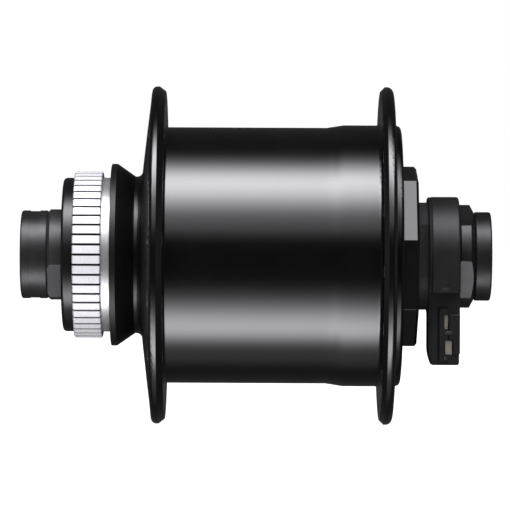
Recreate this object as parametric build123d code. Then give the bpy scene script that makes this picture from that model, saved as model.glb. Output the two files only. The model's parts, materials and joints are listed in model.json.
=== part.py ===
from build123d import *
import math
import os

# Front hub with a built-in dynamo, for a disc brake and a 12 mm through axle.
# Millimetres. The origin is on the axle halfway between the two fork faces.
# +Y runs along the axle to the disc side, +Z is up and +X is forwards, so the rear is -X.
# Bearing stations are measured outboard from the ball centres, and "out" is +1 or -1 along Y.

# Axle
AXLE_HALF = 50.0
BORE_R = 6.05
CAP_LIP = 1.0
AXLE_END = AXLE_HALF - CAP_LIP
AXLE_LEFT_R = 7.5
AXLE_MID_R = 8.0
AXLE_RIGHT_R = 8.5
AXLE_STEP_LEFT = 15.6
AXLE_SHOULDER = -16.0

# Left end cap and lock nut
LEFT_CAP_R = 9.4
LEFT_CAP_INNER = 44.3
CAP_GROOVE = (46.0, 48.2)
CAP_GROOVE_DEPTH = 0.15
CAP_EDGE = 0.5
LEFT_NUT_R = 9.66
LEFT_NUT_FLATS = 17.0
LEFT_NUT_TURN = -42.0
LEFT_NUT_INNER = 37.4
LEFT_FLATS_INNER = 39.4
LEFT_NUT_EDGE = 0.5
FLAT_ROUND = 0.35
LEFT_SPACER_INNER = 36.0

# Right end cap and lock nut
RIGHT_CAP_R = 9.475
RIGHT_CAP_INNER = -46.3
RIGHT_CAP_RELIEF = (0.4, 0.45)
RIGHT_NUT_R = 11.0
RIGHT_NUT_FLATS = 20.0
RIGHT_NUT_TURN = -29.3
RIGHT_NUT_INNER = -43.15
RIGHT_NUT_EDGE = 0.3
RIGHT_NUT_CHAMFER = -45.5
RIGHT_NUT_NOSE_R = 9.55

# Bearings
BALL_R = 2.38
GROOVE_R = 2.42
CUP_IN = -3.6
CUP_OUT = 3.1
CONE_IN = -2.6
CONE_OUT = 3.2
CAGE_IN = -0.4
CAGE_OUT = 3.0
LEFT_PITCH_R = 11.6
LEFT_BALL_Y = 23.4
LEFT_BALLS = 13
LEFT_CUP_R = 15.0
LEFT_CUP_HOLE_R = 10.2
LEFT_CONE_NECK_R = 9.6
RIGHT_PITCH_R = 13.0
RIGHT_BALL_Y = -28.8
RIGHT_BALLS = 15
RIGHT_CUP_R = 16.6
RIGHT_CUP_HOLE_R = 11.6
RIGHT_CONE_NECK_R = 11.46
RIGHT_CONE_END = -36.5
CONE_FLATS = 20.0
CONE_FLATS_TURN = 6.5
CONE_FLATS_INNER = -34.7
SEAL_GAP = 0.06

# Hub shell
BARREL_R = 27.3
BARREL_END_R = 27.87
TAPER = (-14.9, -18.5)
BARREL_BORE_R = 25.46
COVER_BORE_R = 26.0
COVER_BORE_IN = -24.4
LEFT_ROOT_ROUND = 0.55
RIGHT_ROOT_ROUND = 0.95
SMALL_ROUND = 0.2
LEFT_FLANGE_R = 36.0
LEFT_FLANGE_IN = 19.3
LEFT_FLANGE_RIM = (20.65, 22.1)
LEFT_RIM_CHAMFER = 1.05
RIM_ROUND = 1.1
RIGHT_FLANGE_R = 36.05
RIGHT_FLANGE_IN = -26.36
RIGHT_FLANGE_OUT = -29.08
RIGHT_RIM_CHAMFER = 0.95
RIGHT_RIM_ROUND = 1.35
NECK_R = 16.73
NECK_ROUND = 1.3
SHOULDER_R = 19.42
SHOULDER_FACE = 30.8
WEB_OUTSIDE = ((32.5, 22.46), (27.0, 23.15), (19.7, 24.0))
NECK_SPAN = (24.3, 25.7)
SHOULDER_EDGE = 29.55
WEB_INSIDE = 20.8
BOSS_R = 17.5
BOSS_IN = 18.8
CUP_LIP_R = 13.5
SPOKES_PER_FLANGE = 16
LEFT_SPOKE_CIRCLE_R = 33.0
RIGHT_SPOKE_CIRCLE_R = 32.2
SPOKE_HOLE_R = 1.3

# Disc mount
SLEEVE_IN = 27.5
SPIGOT_R = 15.9
SLEEVE_BORE_R = 14.6
SPLINE_IN = 32.65
SPLINE_OUT = 38.6
SPLINE_R = 17.77
SPLINE_ROOT_R = 16.45
SPLINE_TEETH = 52
GAP_TOP = 0.52
GAP_ROOT = 0.36
TOOTH_CHAMFER = 0.25
THREAD_R = 15.3
THREAD_IN = 33.5
COLLAR_R = 16.41
COLLAR_FACE = 41.05
COLLAR_ROUND = 0.8
COLLAR_SPIGOT_R = 15.85
COLLAR_SPIGOT_IN = 37.2
LEFT_DUST_CAP = (30.0, 32.0)

# Side cover
COVER_R = 27.8
COVER_STEP = -30.73
COVER_ROUND = 0.95
COVER_WEB_IN = -27.9
COVER_SPIGOT_IN = -24.6
COVER_SPIGOT_BORE_R = 24.2
COVER_BOSS_R = 18.4
COVER_BOSS_IN = -24.4
COVER_LIP_R = 14.6
OCTAGON_FLATS = 36.0
OCTAGON_TURN = 32.2
OCTAGON_FACE = -34.26
OCTAGON_EDGE = 0.52
OCTAGON_ROUND = 0.22
DUST_CAP_FACE = -34.45
DUST_CAP_IN = -32.6
O_RING_R = 0.65
O_RING_Y = -26.6

# Generator
POLES_PER_YOKE = 14
STATOR_R = 22.0
CLAW_INNER_R = 20.6
CLAW_WIDTH = 3.4
CLAW_TIP = -12.8
YOKE_DISC_R = 20.2
YOKE_IN = 14.0
YOKE_OUT = 15.2
CORE_R = 10.5
BOBBIN_R = 11.5
BOBBIN_WALL = 1.0
COIL_R = 19.2
STATOR_WASHER_R = 13.0
STATOR_NUT_OUT = 18.6
STATOR_NUT_FLATS = 20.0
MAGNET_IN_R = 22.4
MAGNET_OUT_R = 24.3
MAGNET_HALF = 15.0
MAGNET_ARCS = 4
MAGNET_GAP = 0.5
ROTOR_YOKE_HALF = 16.0

# Electrical connector
RING_R = 12.67
RING_ROUND = 0.55
RING_EASE = 0.15
CONNECTOR_IN = -36.5
PLATE_SEAM = -37.25
CONNECTOR_OUT = -43.15
PLATE_BEND_TOP = -19.1
PLATE_BOTTOM = -22.75
BROW_BOTTOM = -7.6
BLOCK_TOP = -6.5
BLOCK_BOTTOM = -23.0
BLOCK_REAR = -10.1
BLOCK_FRONT = 1.8
BLOCK_STEP = (-43.0, -20.6)
PAD_REAR = -10.65
PAD_SPLIT = -40.6
LEFT_PAD_Y = -38.4
LEFT_PAD_Z = (-22.2, -10.85)
LEFT_PAD_EDGE = 0.45
RIGHT_PAD_TOP = -12.2
RIGHT_PAD_EDGE = 0.3
UPPER_SLOT_Y = (-40.65, -39.7)
UPPER_SLOT_Z = (-15.5, -12.25)
LOWER_SLOT_Y = (-41.75, -39.85)
LOWER_SLOT_Z = (-20.95, -17.65)
SLOT_FLOOR = -5.5
UPPER_CONTACT_Y = (-40.6, -39.85)
UPPER_CONTACT_Z = (-15.4, -12.4)
LOWER_CONTACT_Y = (-41.5, -40.05)
LOWER_CONTACT_Z = (-20.8, -17.8)
CONTACT_REAR = -9.9
UPPER_CONTACT_FRONT = -0.1
LOWER_CONTACT_FRONT = 1.0
CONTACT_TAIL_REAR = 0.1
CONTACT_TAIL_Y = -40.8
LATCH_Z = -16.15
LATCH_SIZE = (0.4, 1.15, 0.42)
WEDGE_Y = -40.0
WEDGE_Z = -21.55
WEDGE_SIZE = (0.2, 0.45, 0.3)
LEAD_SLOT_HALF = 1.2
LEAD_SLOT_IN = -39.6
DIMPLE_Y = -40.0
DIMPLE_Z = -6.2
DIMPLE_R = 3.0
DIMPLE_DEPTH = 0.22
WIRE_R = 0.42
WIRE_SPACING = 1.0
WIRE_TRACK = -7.85
WIRE_COIL_Z = -14.0
WIRE_TURN_Y = -16.9
WIRE_DROP_Y = -40.2
WIRE_BEND = 1.0
KEYWAY_WIDTH = 2.2
KEYWAY_FLOOR = 6.95
KEYWAY_END = -41.0


def turned(*points, rounds=None):
    """A piece turned about the axle from its closed half section of (radius, y) points."""
    with BuildPart() as piece:
        with BuildSketch(Plane.XY):
            with BuildLine():
                if rounds is None:
                    Polyline(*points, close=True)
                else:
                    FilletPolyline(*points, radius=rounds, close=True)
            make_face()
        revolve(axis=Axis.Y)
    return piece.part


def ring(inner, outer, y_a, y_b):
    """A plain ring with square edges."""
    return turned((inner, y_a), (outer, y_a), (outer, y_b), (inner, y_b))


def block(x_range, y_range, z_range):
    """A box from its two limits along each direction."""
    size = [abs(b - a) for a, b in (x_range, y_range, z_range)]
    middle = [(a + b) / 2 for a, b in (x_range, y_range, z_range)]
    return Pos(*middle) * Box(*size)


def prism(across_flats, sides, turn, y_a, y_b):
    """A regular prism along the axle, with a flat facing the rear and raised by turn degrees."""
    corner = across_flats / 2 / math.cos(math.pi / sides)
    profile = RegularPolygon(corner, sides, rotation=180 / sides)
    solid = extrude(Plane((0, y_a, 0), x_dir=(1, 0, 0), z_dir=(0, -1, 0)) * profile, y_a - y_b)
    return Rot(0, turn, 0) * solid


def with_flats(piece, across_flats, turns, y_a, y_b):
    """Cuts pairs of opposite spanner flats into a turned piece."""
    half = across_flats / 2
    for turn in turns:
        for side in (0, 180):
            waste = block((-2 * half, -half), (y_a, y_b), (-2 * half, 2 * half))
            piece = piece - Rot(0, turn + side, 0) * waste
    return piece


def race_section(pitch, y, out, lines):
    """Closed half section of a race: straight runs, then one quarter arc around the ball centre."""
    start, middle, end, rest = lines
    points = [[(pitch + r if rel else r, y + out * t) for r, t, rel in run] for run in (start, rest)]
    arc_middle = (pitch + middle[0], y + out * middle[1])
    with BuildPart() as piece:
        with BuildSketch(Plane.XY):
            with BuildLine():
                Polyline(*points[0])
                ThreePointArc(points[0][-1], arc_middle, (pitch + end[0], y + out * end[1]))
                Polyline((pitch + end[0], y + out * end[1]), *points[1], points[0][0])
            make_face()
        revolve(axis=Axis.Y)
    return piece.part


def bearing_cup(pitch, y, out, outer_r, hole_r):
    """Outer race: its groove holds the outer, inboard quarter of each ball."""
    half = GROOVE_R * math.sqrt(0.5)
    start = [(hole_r, CUP_IN, False), (outer_r, CUP_IN, False), (outer_r, CUP_OUT, False)]
    start += [(GROOVE_R, CUP_OUT, True), (GROOVE_R, 0, True)]
    rest = [(hole_r, -GROOVE_R, False)]
    return race_section(pitch, y, out, (start, (half, -half), (0, -GROOVE_R), rest))


def bearing_cone(pitch, y, out, bore_r, neck_r, end_y):
    """Inner race and its neck: the groove holds the inner, outboard quarter of each ball."""
    half = GROOVE_R * math.sqrt(0.5)
    start = [(bore_r, CONE_IN, False), (-GROOVE_R, CONE_IN, True), (-GROOVE_R, 0, True)]
    rest = [(pitch, CONE_OUT, False), (neck_r, CONE_OUT, False)]
    rest += [(neck_r, out * (end_y - y), False), (bore_r, out * (end_y - y), False)]
    return race_section(pitch, y, out, (start, (-half, half), (0, GROOVE_R), rest))


def balls(pitch, y, count):
    """The balls of one bearing, as separate solids."""
    places = [Rot(0, 360 * i / count, 0) * Pos(-pitch, y, 0) for i in range(count)]
    return Compound([place * Sphere(BALL_R) for place in places])


def ball_cage(pitch, y, out, count):
    """Stamped retainer: a thin ring outboard of the balls, with a finger between each pair."""
    cage = ring(pitch + 0.25, pitch + 2.25, y + out * CAGE_IN, y + out * CAGE_OUT)
    pocket = Rot(90, 0, 0) * Sphere(BALL_R + 0.07)
    return cage - [Rot(0, 360 * i / count, 0) * Pos(-pitch, y, 0) * pocket for i in range(count)]


def axle():
    """Hollow axle with stepped threads and a keyway underneath for the two lead wires."""
    tube = turned(
        (BORE_R, -AXLE_END),
        (AXLE_RIGHT_R, -AXLE_END),
        (AXLE_RIGHT_R, AXLE_SHOULDER),
        (AXLE_MID_R, AXLE_SHOULDER),
        (AXLE_MID_R, AXLE_STEP_LEFT),
        (AXLE_LEFT_R, AXLE_STEP_LEFT),
        (AXLE_LEFT_R, AXLE_END),
        (BORE_R, AXLE_END),
    )
    half = KEYWAY_WIDTH / 2
    return tube - block((-half, half), (KEYWAY_END, AXLE_SHOULDER), (-KEYWAY_FLOOR, -AXLE_RIGHT_R - 1))


def left_end_cap():
    """Turned cap that stands in the fork's dropout, with a shallow groove and a lip over the axle."""
    groove_in, groove_out = CAP_GROOVE
    floor_r = LEFT_CAP_R - CAP_GROOVE_DEPTH
    points = [
        (AXLE_LEFT_R, LEFT_CAP_INNER),
        (LEFT_CAP_R - CAP_EDGE / 2, LEFT_CAP_INNER),
        (LEFT_CAP_R, LEFT_CAP_INNER + CAP_EDGE / 2),
        (LEFT_CAP_R, groove_in),
        (floor_r, groove_in),
        (floor_r, groove_out),
        (LEFT_CAP_R, groove_out),
        (LEFT_CAP_R, AXLE_HALF),
        (BORE_R, AXLE_HALF),
        (BORE_R, AXLE_END),
        (AXLE_LEFT_R, AXLE_END),
    ]
    return turned(*points, rounds=[0, 0, 0, 0, 0, 0, 0, CAP_EDGE, 0, 0, 0])


def right_end_cap():
    """The right cap is plain, and relieved where it meets the lock nut."""
    relief, relief_width = RIGHT_CAP_RELIEF
    points = [
        (AXLE_RIGHT_R, RIGHT_CAP_INNER),
        (RIGHT_CAP_R - relief, RIGHT_CAP_INNER),
        (RIGHT_CAP_R, RIGHT_CAP_INNER - relief_width),
        (RIGHT_CAP_R, -AXLE_HALF),
        (BORE_R, -AXLE_HALF),
        (BORE_R, -AXLE_END),
        (AXLE_RIGHT_R, -AXLE_END),
    ]
    return turned(*points, rounds=[0, 0, 0, CAP_EDGE, 0, 0, 0])


def left_lock_nut():
    """Long round nut with one pair of flats, chamfered where it meets the end cap."""
    nut = turned(
        (AXLE_LEFT_R, LEFT_NUT_INNER),
        (LEFT_NUT_R, LEFT_NUT_INNER),
        (LEFT_NUT_R, LEFT_CAP_INNER - LEFT_NUT_EDGE),
        (LEFT_NUT_R - LEFT_NUT_EDGE, LEFT_CAP_INNER),
        (AXLE_LEFT_R, LEFT_CAP_INNER),
    )
    nut = with_flats(nut, LEFT_NUT_FLATS, (LEFT_NUT_TURN,), LEFT_FLATS_INNER, LEFT_CAP_INNER)
    flat_length = LEFT_CAP_INNER - LEFT_FLATS_INNER
    flat_sides = nut.edges().filter_by(Axis.Y).filter_by(lambda edge: edge.length < flat_length + 0.1)
    return fillet(flat_sides, FLAT_ROUND)


def right_lock_nut():
    """Round nut with four flats and a conical nose, which clamps the connector to the cone."""
    nut = turned(
        (AXLE_RIGHT_R, RIGHT_NUT_INNER),
        (RIGHT_NUT_R - RIGHT_NUT_EDGE, RIGHT_NUT_INNER),
        (RIGHT_NUT_R, RIGHT_NUT_INNER - RIGHT_NUT_EDGE),
        (RIGHT_NUT_R, RIGHT_NUT_CHAMFER),
        (RIGHT_NUT_NOSE_R, RIGHT_CAP_INNER),
        (AXLE_RIGHT_R, RIGHT_CAP_INNER),
    )
    turns = (RIGHT_NUT_TURN, RIGHT_NUT_TURN + 90)
    return with_flats(nut, RIGHT_NUT_FLATS, turns, RIGHT_NUT_INNER, RIGHT_CAP_INNER)


def left_spacer():
    return ring(AXLE_LEFT_R, LEFT_CONE_NECK_R, LEFT_SPACER_INNER, LEFT_NUT_INNER)


def left_cone():
    return bearing_cone(LEFT_PITCH_R, LEFT_BALL_Y, 1, AXLE_LEFT_R, LEFT_CONE_NECK_R, LEFT_SPACER_INNER)


def right_cone():
    """The right cone's neck carries the flats that a cone spanner holds."""
    cone = bearing_cone(
        RIGHT_PITCH_R, RIGHT_BALL_Y, -1, AXLE_RIGHT_R, RIGHT_CONE_NECK_R, RIGHT_CONE_END
    )
    return with_flats(cone, CONE_FLATS, (CONE_FLATS_TURN,), CONE_FLATS_INNER, RIGHT_CONE_END)


def shell_outline():
    """Half section of the shell, with the round at each corner as a third number."""
    rim_in, rim_out = LEFT_FLANGE_RIM
    cup_stop = LEFT_BALL_Y + CUP_IN
    outside = [
        (COVER_BORE_R, RIGHT_FLANGE_OUT, 0),
        (RIGHT_FLANGE_R, RIGHT_FLANGE_OUT, RIGHT_RIM_ROUND),
        (RIGHT_FLANGE_R, RIGHT_FLANGE_IN - RIGHT_RIM_CHAMFER, 0),
        (RIGHT_FLANGE_R - RIGHT_RIM_CHAMFER, RIGHT_FLANGE_IN, 0),
        (BARREL_END_R, RIGHT_FLANGE_IN, RIGHT_ROOT_ROUND),
        (BARREL_END_R, TAPER[1], 0),
        (BARREL_R, TAPER[0], 0),
        (BARREL_R, LEFT_FLANGE_IN, LEFT_ROOT_ROUND),
        (LEFT_FLANGE_R - LEFT_RIM_CHAMFER, LEFT_FLANGE_IN, SMALL_ROUND),
        (LEFT_FLANGE_R, rim_in, SMALL_ROUND),
        (LEFT_FLANGE_R, rim_out, RIM_ROUND),
        *[(r, y, 0) for r, y in WEB_OUTSIDE],
        (NECK_R, NECK_SPAN[0], NECK_ROUND),
        (NECK_R, NECK_SPAN[1], 0),
        (SHOULDER_R, SHOULDER_EDGE, SMALL_ROUND),
        (SHOULDER_R, SHOULDER_FACE, SMALL_ROUND),
        (SPIGOT_R, SHOULDER_FACE, 0),
    ]
    inside = [
        (SPIGOT_R, SLEEVE_IN, 0),
        (LEFT_CUP_R, SLEEVE_IN, 0),
        (LEFT_CUP_R, cup_stop, 0),
        (CUP_LIP_R, cup_stop, 0),
        (CUP_LIP_R, BOSS_IN, 0),
        (BOSS_R, BOSS_IN, 0),
        (BOSS_R, WEB_INSIDE, 0),
        (BARREL_BORE_R, WEB_INSIDE, 0),
        (BARREL_BORE_R, COVER_BORE_IN, 0),
        (COVER_BORE_R, COVER_BORE_IN, 0),
    ]
    return outside + inside


def spoke_drills(circle_r, y_a, y_b, phase):
    """One flange's spoke holes, as the cylinders that cut them."""
    middle, length = (y_a + y_b) / 2, abs(y_a - y_b)
    drill = Pos(-circle_r, middle, 0) * Rot(90, 0, 0) * Cylinder(SPOKE_HOLE_R, length)
    pitch = 360 / SPOKES_PER_FLANGE
    return [Rot(0, (i + phase) * pitch, 0) * drill for i in range(SPOKES_PER_FLANGE)]


def hub_shell():
    """Barrel, both spoke flanges and the left bearing seat, in one turned piece."""
    outline = shell_outline()
    shell = turned(*[(r, y) for r, y, corner in outline], rounds=[corner for r, y, corner in outline])
    left = spoke_drills(LEFT_SPOKE_CIRCLE_R, LEFT_FLANGE_IN - 1, LEFT_FLANGE_RIM[1] + 2, 0.25)
    right = spoke_drills(RIGHT_SPOKE_CIRCLE_R, RIGHT_FLANGE_IN + 1, RIGHT_FLANGE_OUT - 1, 0.75)
    return shell - left - right


def spline_profile():
    """Section of the toothed band, with one gap facing straight to the rear."""
    top = -SPLINE_R - 0.2
    corners = (
        (-SPLINE_ROOT_R, -GAP_ROOT / 2),
        (top, -GAP_TOP / 2),
        (top, GAP_TOP / 2),
        (-SPLINE_ROOT_R, GAP_ROOT / 2),
    )
    gap = make_face(Polyline(*corners, close=True))
    return Circle(SPLINE_R) - [Rot(0, 0, 360 * i / SPLINE_TEETH) * gap for i in range(SPLINE_TEETH)]


def disc_mount_sleeve():
    """Bare metal sleeve pressed into the shell: undercut, 52-tooth spline and lock ring thread."""
    band_plane = Plane((0, SPLINE_OUT, 0), x_dir=(1, 0, 0), z_dir=(0, -1, 0))
    band = extrude(band_plane * spline_profile(), SPLINE_OUT - SPLINE_IN)
    envelope = turned(
        (SPLINE_ROOT_R - 1, SPLINE_IN),
        (SPLINE_R - TOOTH_CHAMFER, SPLINE_IN),
        (SPLINE_R, SPLINE_IN + TOOTH_CHAMFER),
        (SPLINE_R, SPLINE_OUT - TOOTH_CHAMFER),
        (SPLINE_R - TOOTH_CHAMFER, SPLINE_OUT),
        (SPLINE_ROOT_R - 1, SPLINE_OUT),
    )
    body = turned(
        (SLEEVE_BORE_R, SLEEVE_IN),
        (SPIGOT_R, SLEEVE_IN),
        (SPIGOT_R, SHOULDER_FACE),
        (SPLINE_ROOT_R, SHOULDER_FACE),
        (SPLINE_ROOT_R, SPLINE_OUT),
        (COLLAR_SPIGOT_R, SPLINE_OUT),
        (COLLAR_SPIGOT_R, COLLAR_SPIGOT_IN),
        (THREAD_R, COLLAR_SPIGOT_IN),
        (THREAD_R, THREAD_IN),
        (SLEEVE_BORE_R, THREAD_IN),
    )
    core = ring(0, SPLINE_ROOT_R - 0.3, SPLINE_IN - 1, SPLINE_OUT + 1)
    return body + ((band & envelope) - core)


def disc_mount_collar():
    """Black end ring of the disc mount, over the first turns of the lock ring thread."""
    points = [
        (THREAD_R, COLLAR_SPIGOT_IN),
        (COLLAR_SPIGOT_R, COLLAR_SPIGOT_IN),
        (COLLAR_SPIGOT_R, SPLINE_OUT),
        (COLLAR_R - 0.12, SPLINE_OUT),
        (COLLAR_R, SPLINE_OUT + 0.12),
        (COLLAR_R, COLLAR_FACE),
        (THREAD_R, COLLAR_FACE),
    ]
    return turned(*points, rounds=[0, 0, 0, 0, 0, COLLAR_ROUND, 0])


def left_cup():
    return bearing_cup(LEFT_PITCH_R, LEFT_BALL_Y, 1, LEFT_CUP_R, LEFT_CUP_HOLE_R)


def right_cup():
    return bearing_cup(RIGHT_PITCH_R, RIGHT_BALL_Y, -1, RIGHT_CUP_R, RIGHT_CUP_HOLE_R)


def left_dust_cap():
    """Rubber-lipped cap pressed into the sleeve, running just clear of the cone's neck."""
    return ring(LEFT_CONE_NECK_R + SEAL_GAP, SLEEVE_BORE_R, *LEFT_DUST_CAP)


def right_dust_cap():
    """Slightly conical cap in the side cover, running just clear of the cone's neck."""
    return turned(
        (RIGHT_CONE_NECK_R + SEAL_GAP, DUST_CAP_IN),
        (RIGHT_CUP_R, DUST_CAP_IN),
        (RIGHT_CUP_R, OCTAGON_FACE),
        (RIGHT_CUP_R - 3.3, DUST_CAP_FACE),
        (RIGHT_CONE_NECK_R + SEAL_GAP, DUST_CAP_FACE),
    )


def side_cover():
    """Screwed cover that closes the shell, with an octagon for the fitting spanner."""
    corner_r = OCTAGON_FLATS / 2 / math.cos(math.pi / 8)
    cup_stop = RIGHT_BALL_Y - CUP_IN
    groove_r = COVER_BORE_R - 2 * O_RING_R
    points = [
        (RIGHT_CUP_R, OCTAGON_FACE),
        (corner_r, OCTAGON_FACE),
        (corner_r, COVER_STEP),
        (COVER_R, COVER_STEP),
        (COVER_R, RIGHT_FLANGE_OUT),
        (COVER_BORE_R, RIGHT_FLANGE_OUT),
        (COVER_BORE_R, O_RING_Y - O_RING_R),
        (groove_r, O_RING_Y - O_RING_R),
        (groove_r, O_RING_Y + O_RING_R),
        (COVER_BORE_R, O_RING_Y + O_RING_R),
        (COVER_BORE_R, COVER_SPIGOT_IN),
        (COVER_SPIGOT_BORE_R, COVER_SPIGOT_IN),
        (COVER_SPIGOT_BORE_R, COVER_WEB_IN),
        (COVER_BOSS_R, COVER_WEB_IN),
        (COVER_BOSS_R, COVER_BOSS_IN),
        (COVER_LIP_R, COVER_BOSS_IN),
        (COVER_LIP_R, cup_stop),
        (RIGHT_CUP_R, cup_stop),
    ]
    rounds = [COVER_ROUND if point == (COVER_R, COVER_STEP) else 0 for point in points]
    cover = turned(*points, rounds=rounds)
    octagon = prism(OCTAGON_FLATS, 8, OCTAGON_TURN, COVER_STEP, OCTAGON_FACE)
    octagon = chamfer(octagon.edges().group_by(Axis.Y)[0], OCTAGON_EDGE)
    corners = octagon.edges().filter_by(lambda edge: abs((edge @ 0).Y - (edge @ 1).Y) > 0.1)
    octagon = fillet(corners, OCTAGON_ROUND)
    waste = ring(RIGHT_CUP_R, corner_r + 1, COVER_STEP, OCTAGON_FACE - 1) - octagon
    return cover - waste


def cover_o_ring():
    """Rubber ring in the cover's groove."""
    return Pos(0, O_RING_Y, 0) * Rot(90, 0, 0) * Torus(COVER_BORE_R - O_RING_R, O_RING_R)


def rotor_yoke():
    return ring(MAGNET_OUT_R, BARREL_BORE_R, -ROTOR_YOKE_HALF, ROTOR_YOKE_HALF)


def rotor_magnets():
    """Ceramic magnet arcs, bonded inside the rotor yoke."""
    gap = MAGNET_GAP / 2
    whole = ring(MAGNET_IN_R, MAGNET_OUT_R, -MAGNET_HALF, MAGNET_HALF)
    quadrant = block((gap, 30), (-MAGNET_HALF, MAGNET_HALF), (gap, 30))
    arc = whole & quadrant
    return Compound([Rot(0, 360 * i / MAGNET_ARCS, 0) * arc for i in range(MAGNET_ARCS)])


def stator_core():
    return ring(AXLE_MID_R, CORE_R, -YOKE_OUT, YOKE_OUT)


def claw_sector(inner_r, turn):
    """Section of a yoke's claws: radial bars cut to the stator's outer radius."""
    with BuildSketch() as section:
        with PolarLocations(0, POLES_PER_YOKE, start_angle=turn):
            with Locations(((inner_r + STATOR_R) / 2 + 0.5, 0)):
                Rectangle(STATOR_R - inner_r + 1, CLAW_WIDTH)
        Circle(STATOR_R, mode=Mode.INTERSECT)
        Circle(inner_r, mode=Mode.SUBTRACT)
    return section.sketch


def stator_yoke(out):
    """Soft-iron disc on one end of the coil, with 14 claws reaching along its outside."""
    turn = 0 if out > 0 else 180 / POLES_PER_YOKE
    face = Plane((0, out * YOKE_OUT, 0), x_dir=(1, 0, 0), z_dir=(0, -out, 0))
    disc = ring(CORE_R, YOKE_DISC_R, out * YOKE_IN, out * YOKE_OUT)
    tabs = extrude(face * claw_sector(YOKE_DISC_R - 1, turn), YOKE_OUT - YOKE_IN)
    claws = extrude(face * claw_sector(CLAW_INNER_R, turn), YOKE_OUT - CLAW_TIP)
    yoke = disc + tabs + claws
    if out < 0:
        yoke = yoke - wire_passage()
    return yoke


def wire_passage():
    """Opening through the coil's right end for the two lead wires."""
    return block((-1.3, 1.3), (-YOKE_OUT - 0.1, -YOKE_IN + 1.1), (WIRE_COIL_Z - 0.9, WIRE_COIL_Z + 0.9))


def coil_bobbin():
    """Plastic spool, cut away where the lead wires leave the coil."""
    wall = YOKE_IN - BOBBIN_WALL
    spool = turned(
        (CORE_R, -YOKE_IN),
        (YOKE_DISC_R, -YOKE_IN),
        (YOKE_DISC_R, -wall),
        (BOBBIN_R, -wall),
        (BOBBIN_R, wall),
        (YOKE_DISC_R, wall),
        (YOKE_DISC_R, YOKE_IN),
        (CORE_R, YOKE_IN),
    )
    return spool - wire_passage()


def coil_winding():
    wall = YOKE_IN - BOBBIN_WALL
    return ring(BOBBIN_R, COIL_R, -wall, wall)


def stator_washer_left():
    return ring(AXLE_MID_R, STATOR_WASHER_R, YOKE_OUT, -AXLE_SHOULDER)


def stator_washer_right():
    return ring(AXLE_MID_R, STATOR_WASHER_R, -YOKE_OUT, AXLE_SHOULDER)


def stator_nut():
    """Hexagon nut that holds the stator against the axle's shoulder."""
    hexagon = prism(STATOR_NUT_FLATS, 6, 0, STATOR_NUT_OUT, -AXLE_SHOULDER)
    return hexagon - ring(0, AXLE_LEFT_R, -AXLE_SHOULDER - 1, STATOR_NUT_OUT + 1)


def lead_wires():
    """Two enamelled leads from the coil, along the keyway, to the connector's contacts."""
    coil_face = -(YOKE_IN - BOBBIN_WALL)
    wires = []
    for x in (-WIRE_SPACING / 2, WIRE_SPACING / 2):
        route = FilletPolyline(
            (x, coil_face, WIRE_COIL_Z),
            (x, WIRE_TURN_Y, WIRE_COIL_Z),
            (x, WIRE_TURN_Y, WIRE_TRACK),
            (x, WIRE_DROP_Y, WIRE_TRACK),
            (x, WIRE_DROP_Y, UPPER_CONTACT_Z[1]),
            radius=WIRE_BEND,
        )
        start = Plane(origin=route @ 0, z_dir=route % 0)
        wires.append(sweep(start * Circle(WIRE_R), path=route))
    return Compound(wires)


def upper_contact():
    """Sprung strip whose rear edge shows in the connector's upper slot."""
    return block((CONTACT_REAR, UPPER_CONTACT_FRONT), UPPER_CONTACT_Y, UPPER_CONTACT_Z)


def lower_contact():
    """Wider strip in the lower slot, with a tail up to its own lead wire."""
    blade = block((CONTACT_REAR, LOWER_CONTACT_FRONT), LOWER_CONTACT_Y, LOWER_CONTACT_Z)
    tail_x = (CONTACT_TAIL_REAR, LOWER_CONTACT_FRONT)
    tail_y = (CONTACT_TAIL_Y, WIRE_DROP_Y + WIRE_R)
    tail = block(tail_x, tail_y, (LOWER_CONTACT_Z[1] - WIRE_R, UPPER_CONTACT_Z[1]))
    return blade + tail


def connector_back_plate():
    """Thin plate behind the connector, with its lower inboard edge curved back."""
    with BuildPart() as plate:
        with BuildSketch(Plane.YZ.offset(BLOCK_REAR)):
            with BuildLine():
                Line((PLATE_SEAM, BLOCK_TOP), (CONNECTOR_IN, BLOCK_TOP))
                Line((CONNECTOR_IN, BLOCK_TOP), (CONNECTOR_IN, PLATE_BEND_TOP))
                TangentArc((CONNECTOR_IN, PLATE_BEND_TOP), (PLATE_SEAM, PLATE_BOTTOM), tangent=(0, -1))
                Line((PLATE_SEAM, PLATE_BOTTOM), (PLATE_SEAM, BLOCK_TOP))
            make_face()
        extrude(amount=BLOCK_FRONT - BLOCK_REAR)
    washer = turned(
        (AXLE_RIGHT_R, CONNECTOR_IN),
        (RING_R - 0.3, CONNECTOR_IN),
        (RING_R - 0.1, CONNECTOR_IN - 0.2),
        (RING_R - 0.1, PLATE_SEAM),
        (AXLE_RIGHT_R, PLATE_SEAM),
    )
    return plate.part - ring(0, AXLE_RIGHT_R, CONNECTOR_IN + 1, PLATE_SEAM - 1) + washer


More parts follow.
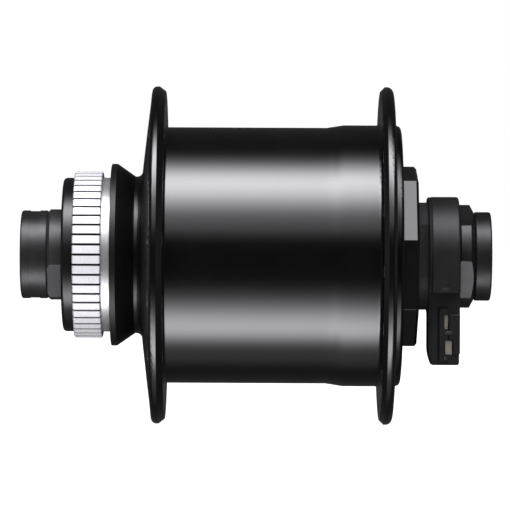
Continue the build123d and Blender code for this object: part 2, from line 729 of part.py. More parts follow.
def connector_blank():
    """The connector's ring around the axle, and the block that hangs from it."""
    collar = turned(
        (AXLE_RIGHT_R, PLATE_SEAM),
        (RING_R, PLATE_SEAM),
        (RING_R, CONNECTOR_OUT),
        (AXLE_RIGHT_R, CONNECTOR_OUT),
        rounds=[0, RING_EASE, RING_ROUND, 0],
    )
    step_y, step_z = BLOCK_STEP
    outline = [
        (PLATE_SEAM, BLOCK_TOP),
        (CONNECTOR_OUT, BLOCK_TOP),
        (CONNECTOR_OUT, step_z),
        (step_y, step_z),
        (step_y, BLOCK_BOTTOM),
        (PLATE_SEAM, BLOCK_BOTTOM),
    ]
    with BuildPart() as hanging:
        with BuildSketch(Plane.YZ.offset(BLOCK_REAR)):
            with BuildLine():
                FilletPolyline(*outline, radius=[0, 0, 0, 0, 0.5, RING_EASE], close=True)
            make_face()
        extrude(amount=BLOCK_FRONT - BLOCK_REAR)
    shaft = ring(0, AXLE_RIGHT_R, PLATE_SEAM + 1, CONNECTOR_OUT - 1)
    return collar + connector_brow() + hanging.part - shaft


def connector_brow():
    """Squared lower rear quarter of the ring, which ends in a step above the pads."""
    brow = block((-RING_R, BLOCK_REAR + 1), (CONNECTOR_OUT, PLATE_SEAM), (BROW_BOTTOM, 0))
    brow = fillet(brow.edges().group_by(Axis.X)[0].group_by(Axis.Y)[0], RING_ROUND)
    return fillet(brow.edges().group_by(Axis.X)[0].group_by(Axis.Y)[-1], RING_EASE)


def raised_pad(y_range, z_range, edge):
    """Flat pad on the block's rear face, chamfered along its top and its inboard side."""
    pad = block((PAD_REAR, BLOCK_REAR), y_range, z_range)
    rear_edges = pad.edges().group_by(Axis.X)[0]
    top = rear_edges.group_by(Axis.Z)[-1]
    inboard = rear_edges.group_by(Axis.Y)[-1]
    return chamfer(top + inboard, edge)


def connector_body():
    """Plastic body: raised pads on the rear face, with two open slots for the plug's wires."""
    left_pad = raised_pad((PAD_SPLIT, LEFT_PAD_Y), LEFT_PAD_Z, LEFT_PAD_EDGE)
    right_pad = raised_pad((CONNECTOR_OUT, PAD_SPLIT), (BLOCK_STEP[1], RIGHT_PAD_TOP), RIGHT_PAD_EDGE)
    latch = Pos(PAD_REAR, PAD_SPLIT, LATCH_Z) * scale(Sphere(1), by=LATCH_SIZE)
    wedge = Pos(PAD_REAR, WEDGE_Y, WEDGE_Z) * scale(Sphere(1), by=WEDGE_SIZE)
    upper_slot = block((PAD_REAR - 1, SLOT_FLOOR), UPPER_SLOT_Y, UPPER_SLOT_Z)
    lower_slot = block((PAD_REAR - 1, SLOT_FLOOR), LOWER_SLOT_Y, LOWER_SLOT_Z)
    lead_slot_z = (UPPER_CONTACT_Z[1] - 0.02, 0.5 - AXLE_RIGHT_R)
    lead_slot = block((-LEAD_SLOT_HALF, LEAD_SLOT_HALF), (CONTACT_TAIL_Y, LEAD_SLOT_IN), lead_slot_z)
    dimple_x = DIMPLE_DEPTH - RING_R - DIMPLE_R
    dimple = Pos(dimple_x, DIMPLE_Y, DIMPLE_Z) * Rot(0, 0, 90) * Sphere(DIMPLE_R)
    body = connector_blank() + left_pad + right_pad + latch + wedge
    for cut in (upper_slot, lower_slot, lead_slot, dimple, upper_contact(), lower_contact()):
        body = body - cut
    return body


PIECES = {
    "axle": axle,
    "left_end_cap": left_end_cap,
    "left_lock_nut": left_lock_nut,
    "left_spacer": left_spacer,
    "left_cone": left_cone,
    "right_cone": right_cone,
    "right_lock_nut": right_lock_nut,
    "right_end_cap": right_end_cap,
    "connector_back_plate": connector_back_plate,
    "connector_body": connector_body,
    "upper_contact": upper_contact,
    "lower_contact": lower_contact,
    "lead_wires": lead_wires,
    "stator_core": stator_core,
    "stator_yoke_left": lambda: stator_yoke(1),
    "stator_yoke_right": lambda: stator_yoke(-1),
    "coil_bobbin": coil_bobbin,
    "coil_winding": coil_winding,
    "stator_washer_left": stator_washer_left,
    "stator_washer_right": stator_washer_right,
    "stator_nut": stator_nut,
    "hub_shell": hub_shell,
    "disc_mount_sleeve": disc_mount_sleeve,
    "disc_mount_collar": disc_mount_collar,
    "side_cover": side_cover,
    "cover_o_ring": cover_o_ring,
    "rotor_yoke": rotor_yoke,
    "rotor_magnets": rotor_magnets,
    "left_cup": left_cup,
    "right_cup": right_cup,
    "left_dust_cap": left_dust_cap,
    "right_dust_cap": right_dust_cap,
    "left_balls": lambda: balls(LEFT_PITCH_R, LEFT_BALL_Y, LEFT_BALLS),
    "right_balls": lambda: balls(RIGHT_PITCH_R, RIGHT_BALL_Y, RIGHT_BALLS),
    "left_ball_cage": lambda: ball_cage(LEFT_PITCH_R, LEFT_BALL_Y, 1, LEFT_BALLS),
    "right_ball_cage": lambda: ball_cage(RIGHT_PITCH_R, RIGHT_BALL_Y, -1, RIGHT_BALLS),
}

os.makedirs("parts", exist_ok=True)
for name, make in PIECES.items():
    export_step(make(), f"parts/{name}.step")
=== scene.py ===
import json
import math

import bpy
import bmesh
import numpy as np
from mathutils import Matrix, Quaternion, Vector


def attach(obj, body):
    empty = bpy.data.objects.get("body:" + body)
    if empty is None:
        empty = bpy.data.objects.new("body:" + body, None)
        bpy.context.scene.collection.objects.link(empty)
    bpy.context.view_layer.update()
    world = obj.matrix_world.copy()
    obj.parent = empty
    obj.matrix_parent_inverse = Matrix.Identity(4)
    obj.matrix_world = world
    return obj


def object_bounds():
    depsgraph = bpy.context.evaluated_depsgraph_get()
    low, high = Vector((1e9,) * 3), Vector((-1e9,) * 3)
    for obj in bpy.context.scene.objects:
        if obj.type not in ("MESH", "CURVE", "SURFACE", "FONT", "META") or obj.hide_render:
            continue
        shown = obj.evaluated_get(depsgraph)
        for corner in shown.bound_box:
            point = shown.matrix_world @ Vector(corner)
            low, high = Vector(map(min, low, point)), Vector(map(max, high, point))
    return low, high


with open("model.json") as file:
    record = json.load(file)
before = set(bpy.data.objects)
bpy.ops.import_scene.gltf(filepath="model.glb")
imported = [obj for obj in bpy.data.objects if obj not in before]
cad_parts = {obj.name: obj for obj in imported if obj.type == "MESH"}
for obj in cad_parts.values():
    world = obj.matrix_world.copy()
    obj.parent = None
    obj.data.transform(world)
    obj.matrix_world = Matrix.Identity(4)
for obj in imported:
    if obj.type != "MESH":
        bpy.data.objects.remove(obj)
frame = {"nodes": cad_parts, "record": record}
cad_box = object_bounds()

MM = 0.001
HUB = "hub_shell_assembly"
AXLE = "axle_assembly"


# ---------------------------------------------------------------- shading of the CAD nodes

SHARP = math.radians(28)
CONE_FIT = 0.06 * MM
SIDEWAYS_FIT = 0.035
WELD_STEPS = 2e6
TINY = 1e-9


def shade_turned(node):
    """Exact normals for surfaces turned about the axle, and smooth ones elsewhere.

    A face counts as turned when its normal passes through the axle and its corners lie on one cone.
    Only the normals are set. The mesh keeps every point that the frame gave it.
    """
    mesh = node.data
    count = len(mesh.vertices)
    points = np.empty(count * 3)
    mesh.vertices.foreach_get("co", points)
    points = points.reshape(-1, 3)
    faces = len(mesh.polygons)
    normals = np.empty(faces * 3)
    centres = np.empty(faces * 3)
    areas = np.empty(faces)
    mesh.polygons.foreach_get("normal", normals)
    mesh.polygons.foreach_get("center", centres)
    mesh.polygons.foreach_get("area", areas)
    normals = normals.reshape(-1, 3)
    centres = centres.reshape(-1, 3)
    loop_vertex = np.empty(len(mesh.loops), int)
    mesh.loops.foreach_get("vertex_index", loop_vertex)
    loop_face = np.repeat(np.arange(faces), [len(p.vertices) for p in mesh.polygons])

    radial = centres[:, [0, 2]] / np.maximum(np.hypot(centres[:, 0], centres[:, 2]), TINY)[:, None]
    outward = normals[:, 0] * radial[:, 0] + normals[:, 2] * radial[:, 1]
    sideways = normals[:, 0] * radial[:, 1] - normals[:, 2] * radial[:, 0]
    reach_at = np.hypot(points[:, 0], points[:, 2])
    height = outward[loop_face] * reach_at[loop_vertex] + normals[loop_face, 1] * points[loop_vertex, 1]
    starts = np.searchsorted(loop_face, np.arange(faces))
    spread = np.maximum.reduceat(height, starts) - np.minimum.reduceat(height, starts)
    turned = (np.abs(sideways) < SIDEWAYS_FIT) & (spread < CONE_FIT)
    meridian = np.stack([outward, normals[:, 1]], axis=1)
    meridian /= np.maximum(np.linalg.norm(meridian, axis=1), TINY)[:, None]

    keys = np.round(points * WELD_STEPS).astype(np.int64)
    _, welded = np.unique(keys, axis=0, return_inverse=True)
    welded = welded.reshape(-1)
    corners_at = {}
    for loop, vertex in enumerate(welded[loop_vertex]):
        corners_at.setdefault(vertex, []).append(loop)
    result = np.empty((len(loop_vertex), 3))
    limit = math.cos(SHARP)
    for loops in corners_at.values():
        loops = np.array(loops)
        around = loop_face[loops]
        point = points[loop_vertex[loops[0]]]
        reach = math.hypot(point[0], point[2])
        for loop, face in zip(loops, around):
            if turned[face] and reach > 1e-6:
                near = around[turned[around]]
                near = near[meridian[near] @ meridian[face] > limit]
                mean = (meridian[near] * areas[near, None]).sum(axis=0)
                mean /= max(np.linalg.norm(mean), 1e-12)
                result[loop] = (mean[0] * point[0] / reach, mean[1], mean[0] * point[2] / reach)
            else:
                near = around[normals[around] @ normals[face] > limit]
                mean = (normals[near] * areas[near, None]).sum(axis=0)
                result[loop] = mean / max(np.linalg.norm(mean), 1e-12)
    mesh.polygons.foreach_set("use_smooth", np.ones(faces, bool))
    mesh.normals_split_custom_set(result.tolist())


# ---------------------------------------------------------------- procedural materials


class Nodes:
    """Short words for making one material's nodes. Places are in millimetres."""

    def __init__(self, name):
        self.material = bpy.data.materials.new(name)
        self.material.use_nodes = True
        self.tree = self.material.node_tree
        self.shader = self.tree.nodes["Principled BSDF"]
        coords = self.tree.nodes.new("ShaderNodeTexCoord")
        self.place = self.scaled(coords.outputs["Object"], 1 / MM)
        split = self.tree.nodes.new("ShaderNodeSeparateXYZ")
        self.link(self.place, split.inputs[0])
        self.x, self.y, self.z = split.outputs
        squares = [self.math("MULTIPLY", side, side) for side in (self.x, self.z)]
        self.reach = self.math("SQRT", self.math("ADD", *squares))

    def link(self, source, target):
        self.tree.links.new(source, target)

    def scaled(self, vector, factor):
        node = self.tree.nodes.new("ShaderNodeVectorMath")
        node.operation = "SCALE"
        self.link(vector, node.inputs[0])
        node.inputs["Scale"].default_value = factor
        return node.outputs[0]

    def math(self, operation, *values):
        node = self.tree.nodes.new("ShaderNodeMath")
        node.operation = operation
        for socket, value in zip(node.inputs, values):
            if isinstance(value, (int, float)):
                socket.default_value = value
            else:
                self.link(value, socket)
        return node.outputs[0]

    def turning(self, across, around):
        """Coordinates that run with the lathe: fine across the tool marks, long around the axle."""
        angle = self.math("ARCTAN2", self.z, self.x)
        join = self.tree.nodes.new("ShaderNodeCombineXYZ")
        self.link(self.math("MULTIPLY", self.reach, across), join.inputs["X"])
        self.link(self.math("MULTIPLY", self.y, across), join.inputs["Y"])
        self.link(self.math("MULTIPLY", self.math("SINE", angle), around), join.inputs["Z"])
        return join.outputs[0]

    def noise(self, vector, scale, detail=3.0, roughness=0.5):
        node = self.tree.nodes.new("ShaderNodeTexNoise")
        self.link(vector, node.inputs["Vector"])
        node.inputs["Scale"].default_value = scale
        node.inputs["Detail"].default_value = detail
        node.inputs["Roughness"].default_value = roughness
        return node.outputs["Fac"]

    def ramp(self, factor, low, high, start=0.0, end=1.0):
        node = self.tree.nodes.new("ShaderNodeMapRange")
        self.link(factor, node.inputs["Value"])
        node.inputs["From Min"].default_value = start
        node.inputs["From Max"].default_value = end
        node.inputs["To Min"].default_value = low
        node.inputs["To Max"].default_value = high
        return node.outputs["Result"]

    def colour(self, factor, low, high, start=0.3, end=0.7):
        node = self.tree.nodes.new("ShaderNodeValToRGB")
        self.link(factor, node.inputs["Fac"])
        node.color_ramp.elements[0].position = start
        node.color_ramp.elements[1].position = end
        node.color_ramp.elements[0].color = (*low, 1)
        node.color_ramp.elements[1].color = (*high, 1)
        return node.outputs["Color"]

    def blend(self, share, first, second):
        """Colour that goes from the first to the second as share goes from 0 to 1."""
        node = self.tree.nodes.new("ShaderNodeMix")
        node.data_type = "RGBA"
        self.link(share, node.inputs[0])
        self.link(first, node.inputs[6])
        self.link(second, node.inputs[7])
        return node.outputs[2]

    def paint(self, colour):
        self.link(colour, self.shader.inputs["Base Color"])

    def rough(self, socket):
        self.link(socket, self.shader.inputs["Roughness"])

    def bump(self, height, depth):
        node = self.tree.nodes.new("ShaderNodeBump")
        self.link(height, node.inputs["Height"])
        node.inputs["Distance"].default_value = depth * MM
        self.link(node.outputs["Normal"], self.shader.inputs["Normal"])

    def set(self, **values):
        for name, value in values.items():
            self.shader.inputs[name.replace("_", " ")].default_value = value


def grey(value):
    return (value, value, value * 1.04)


def anodised(name, low, high, rough, shine, mark_depth=0.0006, mark_scale=9.0):
    """Black anodised metal with faint lathe marks and slow changes of gloss."""
    n = Nodes(name)
    marks = n.noise(n.turning(mark_scale, 1.2), 1.0, detail=4.0)
    clouds = n.noise(n.place, 0.35, detail=6.0)
    n.paint(n.colour(n.noise(n.place, 0.11, detail=5.0), grey(low), grey(high)))
    n.rough(n.ramp(clouds, rough * 0.85, rough * 1.2, 0.3, 0.7))
    n.bump(marks, mark_depth)
    n.set(Metallic=0.0, IOR=1.5, Specular_IOR_Level=shine)
    return n.material


def near_spoke_hole(n, circle_r, side, phase):
    """One inside a flange's spoke holes and on their edges, and zero elsewhere."""
    pitch = 2 * math.pi / SPOKES_PER_FLANGE
    turn = n.math("DIVIDE", n.math("ARCTAN2", n.z, n.math("MULTIPLY", n.x, -1.0)), pitch)
    offset = n.math("SUBTRACT", n.math("FRACT", n.math("ADD", turn, 0.5 - phase + SPOKES_PER_FLANGE)), 0.5)
    across = n.math("MULTIPLY", offset, pitch * circle_r)
    outward = n.math("SUBTRACT", n.reach, circle_r)
    squares = n.math("ADD", n.math("MULTIPLY", across, across), n.math("MULTIPLY", outward, outward))
    near = n.math("LESS_THAN", n.math("SQRT", squares), SPOKE_HOLE_R + SPOKE_HOLE_EDGE)
    return n.math("MULTIPLY", near, n.math("GREATER_THAN", n.math("MULTIPLY", n.y, side), 0.0))


def shell_finish(name):
    """Polished black barrel and flange rims, with dull walls in the spoke holes."""
    n = Nodes(name)
    marks = n.noise(n.turning(9.0, 1.2), 1.0, detail=4.0)
    clouds = n.noise(n.place, 0.35, detail=6.0)
    n.paint(n.colour(n.noise(n.place, 0.11, detail=5.0), grey(0.0007), grey(0.0014)))
    polish = n.ramp(clouds, BARREL_ROUGH * 0.85, BARREL_ROUGH * 1.15, 0.3, 0.7)
    holes = [n.math("MULTIPLY", near_spoke_hole(n, *flange), HOLE_ROUGH) for flange in SPOKE_HOLES]
    n.rough(n.math("MAXIMUM", polish, n.math("MAXIMUM", *holes)))
    n.bump(marks, 0.0005)
    n.set(Metallic=0.0, IOR=1.5, Specular_IOR_Level=0.5)
    return n.material


def neck_finish(name):
    """The shell's neck and the outer face of its left flange, less polished than the barrel."""
    n = Nodes(name)
    marks = n.noise(n.turning(6.0, 1.2), 1.0, detail=4.0)
    n.paint(n.colour(n.noise(n.place, 0.11, detail=5.0), grey(0.0010), grey(0.0022)))
    hole = n.math("MULTIPLY", near_spoke_hole(n, *SPOKE_HOLES[0]), HOLE_ROUGH)
    n.rough(n.math("MAXIMUM", n.ramp(n.reach, NECK_ROUGH, WEB_ROUGH, *NECK_BLEND), hole))
    n.bump(marks, 0.001)
    n.set(Metallic=0.0, IOR=1.5, Specular_IOR_Level=0.2)
    return n.material


def bright_metal(name, low, high, rough, mark_depth, mark_scale=7.0):
    """Bare turned metal, with circular tool marks and a little staining."""
    n = Nodes(name)
    marks = n.noise(n.turning(mark_scale, 0.8), 1.0, detail=5.0, roughness=0.6)
    n.paint(n.colour(n.noise(n.place, 0.4, detail=6.0), low, high))
    n.rough(n.ramp(marks, rough * 0.8, rough * 1.25, 0.3, 0.7))
    n.bump(marks, mark_depth)
    n.set(Metallic=1.0)
    return n.material


def splined_metal(name):
    """Bare aluminium: matt bright teeth, painted shade (a near-black colour) on the tooth flanks and in the
    gaps, and a polished undercut.
    """
    n = Nodes(name)
    teeth = n.ramp(n.y, 0.0, 1.0, SPLINE_START - SPLINE_BLEND, SPLINE_START)
    crown = n.ramp(n.reach, 0.0, 1.0, *TOOTH_FLANK)
    outside = n.ramp(n.reach, 0.0, 1.0, *GAP_SHADE_LIMIT)
    # Painted shade: the tooth flanks and the floors of the gaps, above the undercut and below the crowns,
    # take a near-black colour in place of the bright metal.
    gap = n.math("MULTIPLY", outside, n.math("SUBTRACT", teeth, n.math("MULTIPLY", teeth, crown)))
    marks = n.noise(n.turning(7.0, 0.8), 1.0, detail=5.0, roughness=0.6)
    brushed = n.noise(n.turning(3.0, 14.0), 1.0, detail=3.0)
    bright = n.colour(brushed, grey(TOOTH_SHADE[0]), grey(TOOTH_SHADE[1]))
    # Colour of the painted shade in the gaps: near black, with a little random variation.
    gap_shade = n.colour(n.noise(n.place, 1.6, detail=4.0), grey(0.010), grey(0.022))
    n.paint(n.blend(gap, bright, gap_shade))
    n.rough(n.ramp(teeth, UNDERCUT_ROUGH, TOOTH_ROUGH))
    n.link(n.ramp(teeth, UNDERCUT_METALLIC, TOOTH_METALLIC), n.shader.inputs["Metallic"])
    n.bump(marks, 0.0012)
    return n.material


def moulded(name, low, high, rough, shine, grain_depth, grain_scale=6.0):
    """Moulded plastic or rubber: fine spark-eroded grain and slight changes of gloss."""
    n = Nodes(name)
    grain = n.noise(n.place, grain_scale, detail=4.0, roughness=0.65)
    n.paint(n.colour(n.noise(n.place, 0.25, detail=4.0), low, high))
    n.rough(n.ramp(grain, rough * 0.85, rough * 1.15, 0.3, 0.7))
    n.bump(grain, grain_depth)
    n.set(Metallic=0.0, IOR=1.5, Specular_IOR_Level=shine)
    return n.material


# Millimetres. Each flange's spoke holes: circle radius, side of the hub, phase in pitches.
SPOKE_HOLES = ((33.0, 1, 0.25), (32.2, -1, 0.75))
BARREL_ROUGH = 0.09
NECK_ROUGH = 0.2
WEB_ROUGH = 0.42
HOLE_ROUGH = 0.6
SPOKE_HOLE_R = 1.3
SPOKE_HOLE_EDGE = 0.12
SPOKES_PER_FLANGE = 16
NECK_BLEND = (17.0, 20.0)
SPLINE_START = 32.65
SPLINE_BLEND = 0.05
# Radii in millimetres where the painted shade in the spline gaps fades in above the undercut.
GAP_SHADE_LIMIT = (16.1, 16.2)
TOOTH_FLANK = (17.3, 17.74)
TOOTH_SHADE = (0.335, 0.385)
TOOTH_METALLIC = 0.3
TOOTH_ROUGH = 0.5
UNDERCUT_METALLIC = 0.8
UNDERCUT_ROUGH = 0.3

BY_SLOT = {
    "black_anodised": shell_finish("black_anodised"),
    "black_turned": anodised("black_turned", 0.0046, 0.0070, 0.30, 0.24, 0.003, 5.0),
    "black_steel": anodised("black_steel", 0.0075, 0.0105, 0.60, 0.08, 0.003, 6.0),
    "bare_aluminium": splined_metal("bare_aluminium"),
    "steel": bright_metal("steel", grey(0.42), grey(0.55), 0.35, 0.003),
    "hard_steel": bright_metal("hard_steel", grey(0.45), grey(0.52), 0.18, 0.001),
    "ball_steel": bright_metal("ball_steel", grey(0.7), grey(0.76), 0.06, 0.0003),
    "cage_steel": bright_metal("cage_steel", (0.40, 0.36, 0.28), (0.52, 0.47, 0.37), 0.3, 0.003),
    "contact_metal": bright_metal("contact_metal", (0.30, 0.28, 0.24), (0.42, 0.40, 0.34), 0.42, 0.002),
    "iron": bright_metal("iron", grey(0.18), grey(0.26), 0.45, 0.006),
    "copper_winding": bright_metal("copper_winding", (0.45, 0.13, 0.04), (0.62, 0.2, 0.07), 0.25, 0.02),
    "connector_plastic": moulded("connector_plastic", grey(0.0026), grey(0.0042), 0.44, 0.16, 0.006),
    "bobbin_plastic": moulded("bobbin_plastic", (0.6, 0.58, 0.52), (0.7, 0.68, 0.62), 0.4, 0.5, 0.004),
    "lead_sheath": moulded("lead_sheath", (0.24, 0.012, 0.01), (0.3, 0.018, 0.014), 0.35, 0.5, 0.002),
    "magnet_ceramic": moulded("magnet_ceramic", grey(0.03), grey(0.045), 0.5, 0.4, 0.006),
    "rubber": moulded("rubber", grey(0.0045), grey(0.0075), 0.6, 0.3, 0.008),
}
BY_NODE = {
    "disc_mount_collar": anodised("collar_anodised", 0.0022, 0.0040, 0.16, 0.27),
    "side_cover": anodised("cover_anodised", 0.0007, 0.0014, 0.15, 0.22),
    "left_lock_nut": anodised("left_nut_anodised", 0.0085, 0.0115, 0.34, 0.24, 0.003, 5.0),
    "right_end_cap": anodised("right_cap_anodised", 0.0024, 0.0042, 0.30, 0.17, 0.003, 5.0),
    "right_lock_nut": anodised("right_nut_anodised", 0.0024, 0.0042, 0.30, 0.20, 0.003, 5.0),
    "connector_back_plate": moulded("back_plate_plastic", grey(0.0030), grey(0.0045), 0.6, 0.06, 0.006),
}
SLOT_OF = {s["node"]: s["material_slot"] for s in frame["record"]["subparts"]}


# Millimetres. The neck's finish covers the shell's faces outboard of this plane and inside this radius.
NECK_SIDE_Y = 22.1
NECK_SIDE_R = 34.7


def dress(node_name, node):
    node.data.materials.clear()
    node.data.materials.append(BY_NODE.get(node_name, BY_SLOT[SLOT_OF[node_name]]))
    shade_turned(node)


def dress_neck(shell):
    """A second finish for the shell's faces outboard of its left flange."""
    shell.data.materials.append(neck_finish("shell_neck"))
    for face in shell.data.polygons:
        x, y, z = face.center / MM
        if y > NECK_SIDE_Y and math.hypot(x, z) < NECK_SIDE_R:
            face.material_index = 1


for node_name, node in frame["nodes"].items():
    dress(node_name, node)
dress_neck(frame["nodes"]["hub_shell"])


# ---------------------------------------------------------------- lock ring thread and seal lip

THREAD_R = 15.3
THREAD_SPAN = (33.7, 40.7)
THREAD_PITCH = 1.0
THREAD_DEPTH = 0.45
THREAD_STEPS = 96
THREAD_FADE = 20
THREAD_ROOT = 0.12
THREAD_MARGIN = 0.45
SEAL_SHAFT_R = 9.66
SEAL_Y = 32.0


def threaded_ridge(name, radius, span, pitch, depth):
    """Helical ridge inside a bore, as one closed strip whose ends taper into the wall."""
    turns = (span[1] - span[0]) / pitch - 2 * THREAD_MARGIN
    count = int(turns * THREAD_STEPS)
    form = bmesh.new()
    rings = []
    for i in range(count + 1):
        angle = 2 * math.pi * i / THREAD_STEPS
        rise = span[0] + pitch * (THREAD_MARGIN + i / THREAD_STEPS)
        fade = min(1.0, i / THREAD_FADE, (count - i) / THREAD_FADE)
        crest = radius - depth * fade
        root = radius + THREAD_ROOT
        section = ((root, -0.44), (crest, -0.09), (crest, 0.09), (root, 0.44))
        rings.append([
            form.verts.new((r * math.cos(angle) * MM, (rise + offset * pitch) * MM, r * math.sin(angle) * MM))
            for r, offset in section
        ])
    for lower, upper in zip(rings, rings[1:]):
        for k in range(4):
            form.faces.new((lower[k], lower[(k + 1) % 4], upper[(k + 1) % 4], upper[k]))
    form.faces.new(rings[0][::-1])
    form.faces.new(rings[-1])
    return finished(form, name)


def turned_ring(name, section, steps=144):
    """Closed ring swept about the axle from (radius, y) points."""
    form = bmesh.new()
    rings = []
    for i in range(steps):
        angle = 2 * math.pi * i / steps
        rings.append([form.verts.new((r * math.cos(angle) * MM, y * MM, r * math.sin(angle) * MM))
                      for r, y in section])
    for i, lower in enumerate(rings):
        upper = rings[(i + 1) % steps]
        for k in range(len(section)):
            j = (k + 1) % len(section)
            form.faces.new((lower[k], lower[j], upper[j], upper[k]))
    return finished(form, name)


def finished(form, name):
    bmesh.ops.recalc_face_normals(form, faces=form.faces)
    mesh = bpy.data.meshes.new(name)
    form.to_mesh(mesh)
    form.free()
    mesh.shade_smooth()
    mesh.set_sharp_from_angle(angle=SHARP)
    piece = bpy.data.objects.new(name, mesh)
    bpy.context.scene.collection.objects.link(piece)
    return piece


def add_piece(piece, body, slot):
    piece.data.materials.append(BY_SLOT[slot])
    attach(piece, body)


def lip_section(radius, y, out):
    """Soft lip that stands off a dust cap and leans towards the shaft without touching it."""
    centre_r, half, tall = radius + 0.55, 0.42, 0.5
    points = []
    for k in range(9):
        a = math.pi * k / 8
        points.append((centre_r + half * math.cos(a), y + out * tall * math.sin(a)))
    return [(centre_r + half, y - out * 0.2), *points, (centre_r - half, y - out * 0.2)]


add_piece(threaded_ridge("lock_ring_thread", THREAD_R, THREAD_SPAN, THREAD_PITCH, THREAD_DEPTH), HUB,
          "bare_aluminium")
add_piece(turned_ring("left_seal_lip", lip_section(SEAL_SHAFT_R, SEAL_Y, 1)), HUB, "rubber")


# ---------------------------------------------------------------- studio

VIEW_DISTANCE = 0.85
LENS = 280.75
SENSOR = 36.0
ROLL = math.radians(0.27)
CAMERA_SIDE = 0.215 * MM
CAMERA_UP = 0.08 * MM

# Soft strip lights along the axle: angle above the rear horizon, spread inwards and outwards, radiance.
STRIPS = (
    (67.0, 22.5, 17.5, 16.4),
    (-67.0, 21.0, 15.0, 9.4),
    (26.0, 9.0, 12.0, 0.85),
    (-100.0, 14.0, 14.0, 0.4),
)
# The strips fade in towards directions square to the axle, and are a little dimmer to the hub's right.
STRIP_REACH = (0.66, 0.93)
FALL_OFF = (-0.06, 0.035)
RIGHT_SHARE = 0.88
GLOW_TURN = (-0.2, 0.9)
LIGHT_TINT = (1.0, 0.992, 1.03, 1.0)
DIM_REAR = 0.04
DIM_FRONT = 0.05
END_GLOW = 0.2
END_FOCUS = 10.0

# Soft discs of light that only the matt surfaces show: place, and power in watts.
FILLS = (
    ((1.1, 0.0, 0.5), 9.0),
    ((-1.6, 0.0, 0.0), 18.0),
)
FILL_SIZE = 1.2
FLOOR_R = 3.0


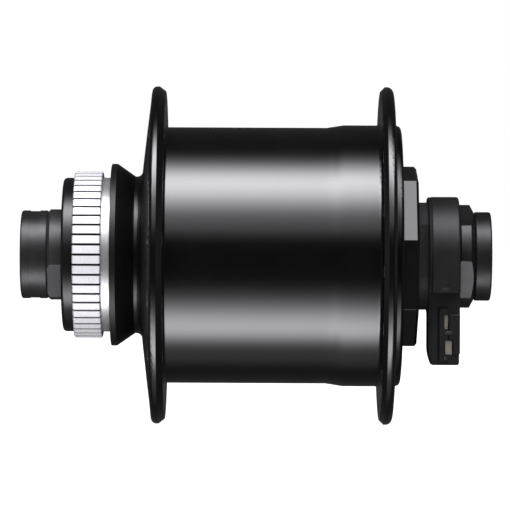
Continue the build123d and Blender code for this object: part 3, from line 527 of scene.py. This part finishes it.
def studio_world():
    """White to the camera, with the strip lights' glow for everything the object reflects."""
    world = bpy.data.worlds.new("studio")
    world.use_nodes = True
    bpy.context.scene.world = world
    tree = world.node_tree
    tree.nodes.clear()

    def calc(operation, *values):
        node = tree.nodes.new("ShaderNodeMath")
        node.operation = operation
        for socket, value in zip(node.inputs, values):
            if isinstance(value, (int, float)):
                socket.default_value = value
            else:
                tree.links.new(value, socket)
        return node.outputs[0]

    def smooth(value, start, end, low, high):
        node = tree.nodes.new("ShaderNodeMapRange")
        node.interpolation_type = "SMOOTHSTEP"
        tree.links.new(value, node.inputs["Value"])
        for name, setting in zip(("From Min", "From Max", "To Min", "To Max"), (start, end, low, high)):
            node.inputs[name].default_value = setting
        return node.outputs["Result"]

    coords = tree.nodes.new("ShaderNodeTexCoord")
    split = tree.nodes.new("ShaderNodeSeparateXYZ")
    tree.links.new(coords.outputs["Generated"], split.inputs[0])
    x, y, z = split.outputs
    angle = calc("MULTIPLY", calc("ARCTAN2", z, calc("MULTIPLY", x, -1.0)), 180 / math.pi)
    from_end = calc("SQRT", calc("ADD", calc("MULTIPLY", x, x), calc("MULTIPLY", z, z)))
    glow = smooth(x, *GLOW_TURN, DIM_REAR, DIM_FRONT)
    side = smooth(y, *FALL_OFF, RIGHT_SHARE, 1.0)
    along = calc("MULTIPLY", smooth(from_end, *STRIP_REACH, 0.0, 1.0), side)
    for centre, inner, outer, radiance in STRIPS:
        offset = calc("SUBTRACT", angle, centre)
        is_outer = calc("GREATER_THAN", calc("MULTIPLY", offset, math.copysign(1, centre)), 0.0)
        width = calc("ADD", inner, calc("MULTIPLY", is_outer, outer - inner))
        share = calc("DIVIDE", offset, width)
        bell = calc("EXPONENT", calc("MULTIPLY", calc("MULTIPLY", share, share), -1.0))
        glow = calc("ADD", glow, calc("MULTIPLY", calc("MULTIPLY", bell, radiance), along))
    end = calc("POWER", calc("ABSOLUTE", y), END_FOCUS)
    glow = calc("ADD", glow, calc("MULTIPLY", end, END_GLOW))

    lit = tree.nodes.new("ShaderNodeBackground")
    lit.inputs["Color"].default_value = LIGHT_TINT
    tree.links.new(glow, lit.inputs["Strength"])
    plain = tree.nodes.new("ShaderNodeBackground")
    plain.inputs["Color"].default_value = (1, 1, 1, 1)
    rays = tree.nodes.new("ShaderNodeLightPath")
    mix = tree.nodes.new("ShaderNodeMixShader")
    tree.links.new(rays.outputs["Is Camera Ray"], mix.inputs[0])
    tree.links.new(lit.outputs[0], mix.inputs[1])
    tree.links.new(plain.outputs[0], mix.inputs[2])
    output = tree.nodes.new("ShaderNodeOutputWorld")
    tree.links.new(mix.outputs[0], output.inputs["Surface"])


def studio_fills():
    """Large soft lights from the front and the rear of the bicycle."""
    for place, power in FILLS:
        light = bpy.data.lights.new("fill", "AREA")
        light.shape = "DISK"
        light.size = FILL_SIZE
        light.energy = power
        lamp = bpy.data.objects.new("fill", light)
        bpy.context.scene.collection.objects.link(lamp)
        lamp.location = place
        lamp.rotation_mode = "QUATERNION"
        lamp.rotation_quaternion = (-lamp.location).to_track_quat("-Z", "Y")
        lamp.visible_glossy = False
        lamp.visible_camera = False


def studio_floor():
    """Plain pale floor that the flanges stand on, lit from below like a light table."""
    lowest, highest = cad_box
    mesh = bpy.data.meshes.new("floor")
    form = bmesh.new()
    bmesh.ops.create_circle(form, cap_ends=True, segments=96, radius=FLOOR_R)
    form.to_mesh(mesh)
    form.free()
    floor = bpy.data.objects.new("floor", mesh)
    bpy.context.scene.collection.objects.link(floor)
    floor.location = (0, 0, lowest.z)
    n = Nodes("floor")
    n.paint(n.colour(n.noise(n.place, 0.002), grey(0.10), grey(0.12)))
    n.set(Roughness=0.9, Emission_Color=(1, 1, 1, 1), Emission_Strength=0.97, Specular_IOR_Level=0.0)
    mesh.materials.append(n.material)
    floor.visible_glossy = False
    floor.visible_shadow = False
    floor.visible_diffuse = False


def studio_camera():
    """Level with the axle, square to it, from the rear of the bicycle."""
    data = bpy.data.cameras.new("camera")
    data.lens = LENS
    data.sensor_width = SENSOR
    data.clip_start = 0.05
    data.clip_end = 20
    camera = bpy.data.objects.new("camera", data)
    bpy.context.scene.collection.objects.link(camera)
    camera.location = (-VIEW_DISTANCE, CAMERA_SIDE, CAMERA_UP)
    camera.rotation_mode = "QUATERNION"
    aim = Vector((1, 0, 0)).to_track_quat("-Z", "Y")
    camera.rotation_quaternion = aim @ Quaternion((0, 0, 1), ROLL)
    bpy.context.scene.camera = camera


studio_world()
studio_fills()
studio_floor()
studio_camera()
bpy.context.scene.view_settings.view_transform = "Standard"
bpy.context.scene.view_settings.look = "None"
